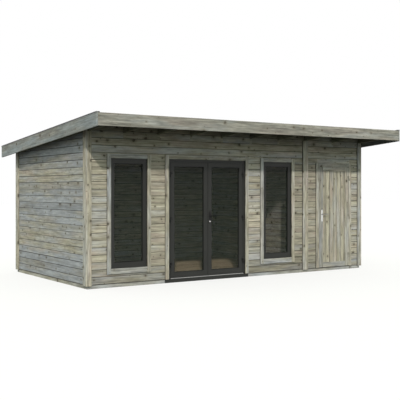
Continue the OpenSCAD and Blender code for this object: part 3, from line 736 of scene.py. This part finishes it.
deck_low, deck_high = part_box("roof_deck")
deck_front = Vector((0, deck_low.y, deck_high.z))
deck_start = deck_front.dot(SLOPE)
deck_top = deck_front.dot(ROOF_NORMAL)
deck_length = (deck_high.y - deck_low.y) / math.cos(ROOF_PITCH)
deck_range = (deck_start + DECK_FRONT_GAP, deck_start + deck_length - DECK_REAR_GAP)
boards = Timber("roof_boards")
lay(boards, (deck_low.x, deck_high.x), deck_range, (deck_top - DECK_T, deck_top), DECK_PITCH,
    (X, SLOPE, ROOF_NORMAL), edge=DECK_EDGE, gap=DECK_GAP)
boards.finish(SHADED_DECK_WOOD, "shed", ["roof_deck"], "roof_timber")

# Timbers with eased edges, with tones from left to right and from below
BEAM_TONES = ((-0.1, 0.6),)
SIDE_TONES = ((0.05, -0.15),)
CORNER_TONES = ((-0.02, -0.5), (0.0, 0.0), (-0.02, 0.4), (0.0, 0.0))
COVER_TONES = ((0.0, -0.2),)
WINDOW_TONES = ((0.0, 0.35), (-0.12, 0.4), (-0.1, 0.35), (-0.02, -0.1))
DOOR_TONES = ((0.06, 0.25), (-0.12, 0.5), (0.0, 0.1))
STORE_TONES = ((-0.05, 0.3), (-0.1, 0.6), (0.0, 0.0))
LEAF_TONES = ((-0.24, 0.45), (-0.1, 0.3), (-0.05, 0.2), (-0.05, 0.1))
BARGE_TONES = ((-0.07, 0.75),)

dress("base_beams", BASE_WOOD, "shed", "base_timber", SAWN_EDGE, tones=BEAM_TONES)
for node in ("base_cross_beams", "floor_joists"):
    dress(node, BASE_WOOD, "shed", "base_timber", SAWN_EDGE)
dress("corner_side_boards", TRIM_WOOD, "shed", "trim_timber", tones=SIDE_TONES)
# These raised boards take painted shade on the backs of their sides, next to the wall
for node, tones in (
    ("corner_face_boards", CORNER_TONES), ("partition_cover_boards", COVER_TONES),
    ("window_trims", WINDOW_TONES), ("door_trim", DOOR_TONES), ("store_door_trim", STORE_TONES),
):
    dress(node, TRIM_WOOD, "shed", "trim_timber", tones=tones, gap_shade=True)
dress("store_door_frame", TRIM_WOOD, "shed", "trim_timber")
dress("store_leaf_frame", TRIM_WOOD, "store_leaf", "trim_timber", LEAF_EDGE, tones=LEAF_TONES)
dress("rafters", SHADED_RAFTER_WOOD, "shed", "roof_timber", sloped=True)
for node in ("front_fascia", "rear_fascia"):
    dress(node, EAVES_WOOD, "shed", "trim_timber", SAWN_EDGE)
dress("barge_boards", EAVES_WOOD, "shed", "trim_timber", SAWN_EDGE, sloped=True, tones=BARGE_TONES)
for node in ("door_frame", "door_sill"):
    dress(node, ANTHRACITE, "shed", "dark_frames", FINE_EDGE)

# Upright boards of the store door
PANEL_GAP = 0.003
panel_low, panel_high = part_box("store_leaf_panel")
boards = Timber("store_leaf_boards")
lay(boards, (panel_low.z, panel_high.z), (panel_low.x, panel_high.x), (panel_low.y, panel_high.y),
    PANEL_PITCH, (Z, X, Y), gap=PANEL_GAP)
boards.finish(WALL_WOOD, "store_leaf", ["store_leaf_panel"], "wall_boards")

# Painted frames of mitred members
MITRE_GAP = 0.0003
GASKET = ((0.0, 0.0), (0.0, 0.005), (0.002, 0.0062), (0.0045, 0.005), (0.0055, 0.0))


def member_outline(width, depth, front):
    """Outline, across and through, of a frame member with a bevel and a groove for the pane."""
    pane_y = front + GLASS_BACK
    seat = width - GLASS_SEAT
    back = front + depth
    return [
        (FINE_EDGE, front), (width - GLASS_BEVEL, front), (width, front + GLASS_BEVEL), (width, pane_y),
        (seat, pane_y), (seat, pane_y + GLASS_T), (width, pane_y + GLASS_T),
        (width, back), (FINE_EDGE, back), (0.0, back - FINE_EDGE), (0.0, front + FINE_EDGE),
    ]


def mitre(a, width, other):
    """Where a member ends at this distance across it, against a member of another width."""
    if a <= width - GLASS_BEVEL:
        return a * (other - GLASS_BEVEL) / (width - GLASS_BEVEL)
    return other - (width - a)


def mitred_frame(timber, low, high, widths):
    """Four members round a pane, as (left, right, bottom, top) widths, mitred at the corners."""
    left, right, bottom, top = widths
    sides = (
        (Vector((low.x, 0, low.z)), X, Z, bottom, left, right, high.x - low.x),
        (Vector((high.x, 0, low.z)), Z, -X, right, bottom, top, high.z - low.z),
        (Vector((high.x, 0, high.z)), -X, -Z, top, right, left, high.x - low.x),
        (Vector((low.x, 0, high.z)), -Z, X, left, top, bottom, high.z - low.z),
    )
    for corner, along, across, width, before, after, length in sides:
        rings = [[], []]
        for a, y in member_outline(width, high.y - low.y, low.y):
            base = corner + across * a + Y * y
            start = mitre(a, width, before) + MITRE_GAP
            end = length - mitre(a, width, after) - MITRE_GAP
            rings[0].append(timber.mesh.verts.new(base + along * start))
            rings[1].append(timber.mesh.verts.new(base + along * end))
        bridge(timber.mesh, rings)
        timber.mark(rings[0] + rings[1], (along, across, Y))


def gaskets(mesh, low, high, widths):
    """Black seals round a pane, in front of it and behind it, with a rounded outer face."""
    left, right, bottom, top = widths
    inner_low = Vector((low.x + left, 0, low.z + bottom))
    inner_high = Vector((high.x - right, 0, high.z - top))
    pane_y = low.y + GLASS_BACK
    for face_y, out in ((pane_y, -1.0), (pane_y + GLASS_T, 1.0)):
        rings = []
        for x, z, sx, sz in (
            (inner_low.x, inner_low.z, 1, 1), (inner_high.x, inner_low.z, -1, 1),
            (inner_high.x, inner_high.z, -1, -1), (inner_low.x, inner_high.z, 1, -1),
        ):
            rings.append([mesh.verts.new((x + sx * a, face_y + out * b, z + sz * a)) for a, b in GASKET])
        bridge(mesh, rings, loop=True)


def seal_piece(name, frames, widths, body):
    mesh = bmesh.new()
    for low, high in frames:
        gaskets(mesh, low, high, widths)
    make(name, turned_out(mesh), SEAL, body, [])


windows = Timber("window_members")
for low, high in window_boxes:
    mitred_frame(windows, low, high, WINDOW_WIDTHS)
windows.finish(ANTHRACITE, "shed", ["window_frames"], "dark_frames")
seal_piece("window_seals", window_boxes, WINDOW_WIDTHS, "shed")
for side in ("left", "right"):
    low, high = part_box(side + "_leaf_frame")
    leaf = Timber(side + "_leaf_members")
    mitred_frame(leaf, low, high, LEAF_WIDTHS)
    leaf.finish(ANTHRACITE, side + "_leaf", [side + "_leaf_frame"], "dark_frames")
    seal_piece(side + "_leaf_seals", [(low, high)], LEAF_WIDTHS, side + "_leaf")

# Handles and screws, turned ones with outlines of (distance along the axis, radius)
BAR_SIDES = 14
TURNED_SIDES = 20
SCREW_SIDES = 10
COLLAR = ((0.0, 0.0092), (0.0, 0.0155), (0.004, 0.0155), (0.0055, 0.014), (0.0055, 0.0092))
LOCK_RING = ((0.0, 0.0087), (0.0, 0.0115), (0.002, 0.0115), (0.003, 0.0105), (0.003, 0.0087))
SCREW = (
    (0.0, 0.0042), (0.0005, 0.0040), (0.0011, 0.0028), (0.0011, 0.0018), (0.0005, 0.0013), (0.0005, 0.0004),
)
LEVER_BEND = 0.018
LEVER_BEND_ANGLES = (0.4, 0.8, 1.2)
GRIP_TIP = 0.8
GRIP_MIDDLE = 0.6
GRIP_TAPER = (0.45, 0.86, 0.97, 0.97)
PLATE_SCREW_IN = 0.012
PLATE_CORNER = 0.012
PLATE_CORNER_STEPS = 5
PLATE_EDGE = 0.0012
SQUARE_ANGLES = (math.radians(60), math.radians(120))


def circle(mesh, centre, u, v, radius, sides):
    """Vertices of a circle in the plane of two directions."""
    angles = [2 * math.pi * k / sides for k in range(sides)]
    return [mesh.verts.new(centre + (u * math.cos(t) + v * math.sin(t)) * radius) for t in angles]


def tube(mesh, path, radii):
    """A round bar along a path of points, closed at both ends."""
    rings = []
    for i, point in enumerate(path):
        ahead = (path[min(i + 1, len(path) - 1)] - path[max(i - 1, 0)]).normalized()
        u = ahead.cross(Z).normalized()
        v = u.cross(ahead).normalized()
        rings.append(circle(mesh, point, u, v, radii[i], BAR_SIDES))
    bridge(mesh, rings)


def turned(name, spots, outline, material, body, sides=TURNED_SIDES, ring=False):
    """Copies at (centre, axis) of a turned piece with this outline."""
    mesh = bmesh.new()
    for centre, axis in spots:
        u = axis.cross(Z).normalized()
        v = axis.cross(u)
        bridge(mesh, [circle(mesh, centre + axis * a, u, v, r, sides) for a, r in outline], ring)
    make(name, turned_out(mesh), material, body, [], smooth=True)


def lever_piece(node, body, material):
    """A lever of one bent bar: front grip, bend, neck through the leaf, bend and rear grip."""
    low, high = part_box(node)
    neck = Vector((low.x + GRIP_R, (low.y + high.y) / 2, (low.z + high.z) / 2))
    reach = (high.y - low.y) / 2 - GRIP_R
    length = high.x - neck.x - GRIP_R
    half = [(length + GRIP_TIP * GRIP_R, 0.0), (length, 0.0), (GRIP_MIDDLE * length, 0.0), (LEVER_BEND, 0.0)]
    for t in LEVER_BEND_ANGLES:
        half.append((LEVER_BEND * (1 - math.sin(t)), LEVER_BEND * (1 - math.cos(t))))
    half.append((0.0, LEVER_BEND))
    radii = [share * GRIP_R for share in GRIP_TAPER]
    radii += [NECK_R] * (len(half) - len(radii))
    path = [neck + Vector((a, b - reach, 0)) for a, b in half]
    path += [Vector((p.x, 2 * neck.y - p.y, p.z)) for p in reversed(path)]
    mesh = bmesh.new()
    tube(mesh, path, radii + radii[::-1])
    make(node + "_bar", turned_out(mesh), material, body, [node], smooth=True)
    return neck


def plate_piece(node, body, material):
    """Handle plates with rounded corners and softened edges."""
    mesh = welded(node)
    low, high = box_of(mesh.verts)
    corners = []
    for e in mesh.edges:
        a, b = [v.co for v in e.verts]
        outer = min(abs(a.x - low.x), abs(a.x - high.x)) < NEAR
        if outer and abs(a.x - b.x) + abs(a.z - b.z) < HAIR:
            corners.append(e)
    soften(mesh, corners, PLATE_CORNER, PLATE_CORNER_STEPS)
    square = [e for e in mesh.edges if SQUARE_ANGLES[0] < e.calc_face_angle(0.0) < SQUARE_ANGLES[1]]
    soften(mesh, square, PLATE_EDGE)
    make(node + "_rounded", mesh, material, body, [node], smooth=True)


for node, plates, body, leaf, material, grip, slot in (
    ("door_lever", "door_handle_plates", "door_handle", "right_leaf", DARK_METAL, DARK_METAL, "dark_handle"),
    ("store_lever", "store_handle_plates", "store_handle", "store_leaf", STEEL, SHADED_LEVER_STEEL, "bright_metal"),
):
    neck = lever_piece(node, body, grip)
    plate_piece(plates, leaf, material)
    low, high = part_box(plates)
    sides = ((low.y, -Y), (high.y, Y))
    spots = [(Vector((neck.x, y, neck.z)), out) for y, out in sides]
    turned(node + "_collars", spots, COLLAR, material, leaf, ring=True)
    heights = (low.z + PLATE_SCREW_IN, high.z - PLATE_SCREW_IN)
    spots = [(Vector((neck.x, y, z)), out) for y, out in sides for z in heights]
    turned(plates + "_screws", spots, SCREW, DULL_STEEL, leaf, SCREW_SIDES)

# Lock rings and keyholes
KEYHOLE_R = 0.0026
KEYHOLE_ANGLES = (-0.8, -0.2, 0.5, 1.2, 1.95, 2.65, 3.34, 3.94)
KEYHOLE_SLOT = ((-0.0012, -0.0023), (-0.0012, -0.0060), (0.0012, -0.0060), (0.0012, -0.0023))
KEYHOLE_T = 0.0002
lock_low, lock_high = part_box("door_lock_cylinder")
lock = (lock_low + lock_high) / 2
plate_low, plate_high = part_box("door_handle_plates")
spots = [(Vector((lock.x, y, lock.z)), out) for y, out in ((plate_low.y, -Y), (plate_high.y, Y))]
turned("door_lock_rings", spots, LOCK_RING, STEEL, "right_leaf", ring=True)

keyhole = [(KEYHOLE_R * math.cos(t), KEYHOLE_R * math.sin(t)) for t in KEYHOLE_ANGLES]
keyhole += KEYHOLE_SLOT
mesh = bmesh.new()
for y, out in ((lock_low.y, -KEYHOLE_T), (lock_high.y, KEYHOLE_T)):
    layers = []
    for place in (y, y + out):
        layers.append([mesh.verts.new((lock.x + a, place, lock.z + b)) for a, b in keyhole])
    bridge(mesh, layers)
make("door_keyholes", turned_out(mesh), SEAL, "right_leaf", [])

# Screws in the trim boards and the fascias, at shares of their width
SCREW_SPACING = 0.65
TRIM_SCREW_IN = 0.035
EAVES_SCREW_IN = 0.06
SINGLE_ROW = (0.5,)
DOUBLE_ROW = (0.25, 0.75)


def screw_rows(node, side, ends, shares):
    """Places of the screws near the ends and along the face of each timber of a CAD node."""
    spots = []
    for low, high in boxes(node):
        size = high - low
        tall = size.z > size.x
        length = size.z if tall else size.x
        steps = max(2, round(length / SCREW_SPACING) + 1)
        for i in range(steps):
            a = ends + (length - 2 * ends) * i / (steps - 1)
            for share in shares:
                x, z = (share * size.x, a) if tall else (a, share * size.z)
                y = low.y if side < 0 else high.y
                spots.append((Vector((low.x + x, y, low.z + z)), Y * side))
    return spots


trim_spots = []
for node in ("window_trims", "door_trim", "store_door_trim"):
    trim_spots += screw_rows(node, -1, TRIM_SCREW_IN, SINGLE_ROW)
turned("trim_screws", trim_spots, SCREW, DULL_STEEL, "shed", SCREW_SIDES)
eaves_spots = screw_rows("front_fascia", -1, EAVES_SCREW_IN, DOUBLE_ROW)
eaves_spots += screw_rows("rear_fascia", 1, EAVES_SCREW_IN, SINGLE_ROW)
turned("eaves_screws", eaves_spots, SCREW, DULL_STEEL, "shed", SCREW_SIDES)

# Hinge pins and the screws on the flaps, with the store hinges in the grey of its boards
FLAP_SCREW_IN = 0.012
FLAP_SCREWS_UP = (0.011, 0.034)
STORE_HINGES_FROM = store_box[0].x


def flap_screws(solids, to_right):
    """Places of the screws in flaps that reach to the right or left of their knuckles."""
    spots = []
    for low, high in solids:
        x = high.x - FLAP_SCREW_IN if to_right else low.x + FLAP_SCREW_IN
        spots += [(Vector((x, high.y - FLAP_T, low.z + up)), -Y) for up in FLAP_SCREWS_UP]
    return spots


def pins_piece(name, store, material):
    """The hinge pins of the store door or of the double door."""
    mesh = welded("hinge_pins")
    for group in islands(mesh):
        if (box_of(group)[0].x > STORE_HINGES_FROM) != store:
            bmesh.ops.delete(mesh, geom=group, context="VERTS")
    make(name, mesh, material, "shed", ["hinge_pins"], smooth=True)


pins_piece("door_hinge_pins", False, DARK_METAL)
pins_piece("store_hinge_pins", True, GREY_METAL)
for body, to_right, material in (
    ("left_leaf", True, DARK_METAL), ("right_leaf", False, DARK_METAL), ("store_leaf", False, GREY_METAL),
):
    spots = flap_screws(boxes(body + "_hinges"), to_right)
    turned(body + "_hinge_screws", spots, SCREW, material, body, SCREW_SIDES)

# Ribs on the threshold, with an outline of (share of the pitch, height)
RIB_COUNT = 3
RIB_PITCH = 0.008
RIB_H = 0.0008
RIB_START = 0.0035
RIB_INSET = 0.05
RIB_OUTLINE = ((0.0, 0.0), (0.2, RIB_H), (0.35, RIB_H), (0.65, RIB_H), (0.8, RIB_H), (1.0, 0.0))
bar_low, bar_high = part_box("door_threshold")
ribs = Timber("door_threshold_ribs")
for k in range(RIB_COUNT):
    y = bar_low.y + RIB_START + k * RIB_PITCH
    outline = [(y + RIB_PITCH * share, bar_high.z + height, FACE) for share, height in RIB_OUTLINE]
    ribs.prism(outline, bar_low.x + RIB_INSET, bar_high.x - RIB_INSET, (X, Y, Z))
ribs.finish(ALUMINIUM, "shed", [], "threshold_metal")

# Roofing sheets that lap over each other down the slope
SHEET_W = 1.0
SHEET_LAP = 0.08
SHEET_T = 0.0025
COVER_REAR_GAP = 0.001
cover_low, cover_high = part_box("roof_covering")
cover_front = Vector((0, cover_low.y, cover_high.z))
cover_top = cover_front.dot(ROOF_NORMAL)
cover_bottom = cover_top - SHEET_T
cover_start = cover_front.dot(SLOPE)
cover_end = cover_start + (cover_high.y - cover_low.y) / math.cos(ROOF_PITCH) - COVER_REAR_GAP
sheets = Timber("roofing_sheets")
b0 = cover_start
while b0 < cover_end:
    b1 = min(b0 + SHEET_W, cover_end)
    rise = SHEET_T if b1 < cover_end else 0.0
    outline = [(b0, cover_bottom), (b1, cover_bottom + rise), (b1, cover_top + rise), (b0, cover_top)]
    sheets.prism([(b, c, FACE) for b, c in outline], cover_low.x, cover_high.x, (X, SLOPE, ROOF_NORMAL))
    b0 += SHEET_W - SHEET_LAP
sheets.finish(FELT, "shed", ["roof_covering"], "roof_sheet")

# CAD nodes that keep their shape
for node, material in (
    ("window_glass", GLASS), ("left_leaf_glass", GLASS), ("right_leaf_glass", GLASS),
    ("left_leaf_hinges", DARK_METAL), ("right_leaf_hinges", DARK_METAL), ("store_leaf_hinges", GREY_METAL),
    ("door_lock_cylinder", STEEL), ("door_threshold", ALUMINIUM), ("edge_strips", STRIP_METAL),
):
    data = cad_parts[node].data
    data.materials.clear()
    data.materials.append(material)

# Dark strip between the base and the walls, from one end of the door sill round to the other
STRIP_LOW = 0.052
STRIP_OUT = 0.002
STRIP_EDGE = 0.001
STRIP_TOP_GAP = 0.0005
STRIP_END_GAP = 0.002
base_low, base_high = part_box("base_beams")
sill_low, sill_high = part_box("door_sill")
strip_outline = (
    (0.0, STRIP_LOW), (STRIP_OUT, STRIP_LOW + STRIP_EDGE),
    (STRIP_OUT, BASE_Z - STRIP_EDGE), (0.0, BASE_Z - STRIP_TOP_GAP),
)
strip_corners = (
    (sill_low.x - STRIP_END_GAP, base_low.y, -Y), (base_low.x, base_low.y, -X - Y),
    (base_low.x, base_high.y, -X + Y), (base_high.x, base_high.y, X + Y),
    (base_high.x, base_low.y, X - Y), (sill_high.x + STRIP_END_GAP, base_low.y, -Y),
)
mesh = bmesh.new()
rings = []
for x, y, outward in strip_corners:
    rings.append([mesh.verts.new(Vector((x, y, height)) + outward * out) for out, height in strip_outline])
bridge(mesh, rings)
make("base_strip", turned_out(mesh), DARK_STRIP, "shed", [])

# Stage: floor, light and camera
CAMERA_AT = Vector((-7.952, -11.9165, 1.545))
CAMERA_TURN = math.radians(-33.6)
IMAGE_W = 400
FOCAL_PX = 760.4
HORIZON_PX = 189
SENSOR_W = 36.0
VIEW_END = 300.0
SUN_TRAVEL = Vector((0.50, 0.797, -0.612))
SUN_STRENGTH = 2.4
SUN_WIDTH = math.radians(2.5)
SUN_COLOUR = (1.0, 0.92, 0.87)
WHITE = rgb(1.0, 1.0, 1.0)
SKY_LOW = rgb(1.14, 1.22, 1.15)
SKY_HIGH = rgb(1.16, 1.24, 1.17)
FLOOR_COLOUR = rgb(0.18, 0.18, 0.17)
FLOOR_BOUNCE = rgb(0.06, 0.06, 0.054)
FLOOR_GLOW = 0.745
FLOOR_HALF = 60.0

mesh = bmesh.new()
bmesh.ops.create_grid(mesh, x_segments=1, y_segments=1, size=FLOOR_HALF)
data = bpy.data.meshes.new("stage_floor")
mesh.to_mesh(data)
mesh.free()
floor = bpy.data.objects.new("stage_floor", data)
bpy.context.scene.collection.objects.link(floor)

material = bpy.data.materials.new("pale_floor")
nodes = Nodes(material)
bounce = nodes.node("ShaderNodeBsdfDiffuse", [("Color", FLOOR_BOUNCE)]).outputs[0]
matt = nodes.node("ShaderNodeBsdfDiffuse", [("Color", FLOOR_COLOUR)]).outputs[0]
glow = nodes.node("ShaderNodeEmission", [("Color", WHITE), ("Strength", FLOOR_GLOW)]).outputs[0]
bright = nodes.node("ShaderNodeAddShader", [(0, matt), (1, glow)]).outputs[0]
nodes.node("ShaderNodeOutputMaterial", [("Surface", nodes.by_ray(bounce, bright))])
floor.data.materials.append(material)

world = bpy.data.worlds.new("studio")
bpy.context.scene.world = world
nodes = Nodes(world)
height = nodes.split(nodes.node("ShaderNodeTexCoord").outputs["Generated"])[2]
sky = nodes.node("ShaderNodeBackground", [("Color", nodes.mix(height, SKY_LOW, SKY_HIGH))]).outputs[0]
white = nodes.node("ShaderNodeBackground", [("Color", WHITE)]).outputs[0]
nodes.node("ShaderNodeOutputWorld", [("Surface", nodes.by_ray(sky, white))])

lamp = bpy.data.lights.new("key", "SUN")
lamp.energy = SUN_STRENGTH
lamp.angle = SUN_WIDTH
lamp.color = SUN_COLOUR
key = bpy.data.objects.new("key", lamp)
key.rotation_euler = SUN_TRAVEL.to_track_quat("-Z", "Y").to_euler()
bpy.context.scene.collection.objects.link(key)

optics = bpy.data.cameras.new("camera")
optics.sensor_width = SENSOR_W
optics.lens = FOCAL_PX / IMAGE_W * SENSOR_W
optics.shift_y = (HORIZON_PX - IMAGE_W / 2) / IMAGE_W
optics.clip_end = VIEW_END
camera = bpy.data.objects.new("camera", optics)
camera.location = CAMERA_AT
camera.rotation_euler = (math.pi / 2, 0.0, CAMERA_TURN)
bpy.context.scene.collection.objects.link(camera)
bpy.context.scene.camera = camera
bpy.context.scene.view_settings.view_transform = "Standard"

bpy.context.view_layer.update()
